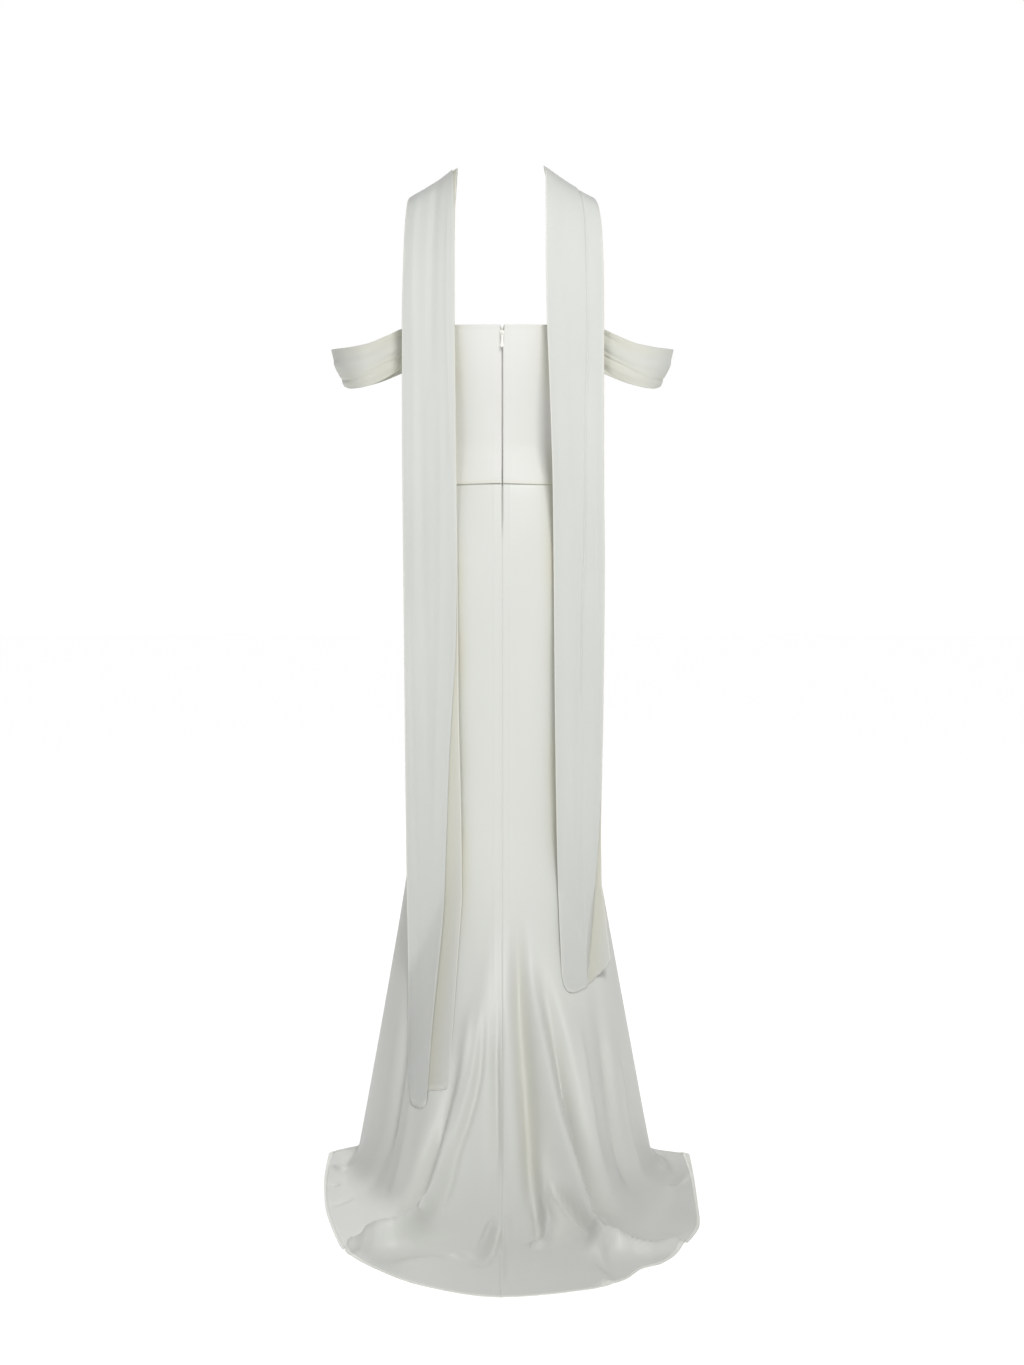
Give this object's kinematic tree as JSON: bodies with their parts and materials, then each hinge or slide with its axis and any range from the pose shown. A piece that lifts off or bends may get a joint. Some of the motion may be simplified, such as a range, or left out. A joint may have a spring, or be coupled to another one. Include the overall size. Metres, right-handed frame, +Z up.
{
  "type": "mermaid wedding dress",
  "caption": "Strapless mermaid gown with train, draped off-shoulder bands, two long scarf panels down the back and a back zip whose pull tab swings.",
  "frame": {"origin": "on the axis of the body at the natural waist, 1085 mm above the floor, where the wearer holds the dress up", "axes": "+Z up, +Y towards the back of the dress and its train, +X towards the wearer's left"},
  "size_m": [0.55, 1.028, 1.499],
  "materials": {
    "satin_crepe": "satin",
    "matt_crepe": "matte",
    "chiffon": "matte, sheer",
    "woven_tape": "woven",
    "enamelled_metal": "gloss"
  },
  "bodies": {
    "gown": {"skirt_front": "satin_crepe", "skirt_back_left": "satin_crepe", "skirt_back_right": "satin_crepe", "bodice_front": "matt_crepe", "bodice_back_left": "matt_crepe", "bodice_back_right": "matt_crepe", "scarf_left": "chiffon", "scarf_right": "chiffon", "shoulder_band_left": "chiffon", "shoulder_band_right": "chiffon", "zip_tape": "woven_tape", "zip_slider": "enamelled_metal"},
    "zip_pull": {"zip_pull": "enamelled_metal"}
  },
  "joints": [
    {"name": "zip_pull_swing", "type": "hinge", "parent": "gown", "child": "zip_pull", "pos_m": [0, 0.10322, 0.1595], "axis": [1, 0, 0], "range_deg": [0, 165]}
  ]
}
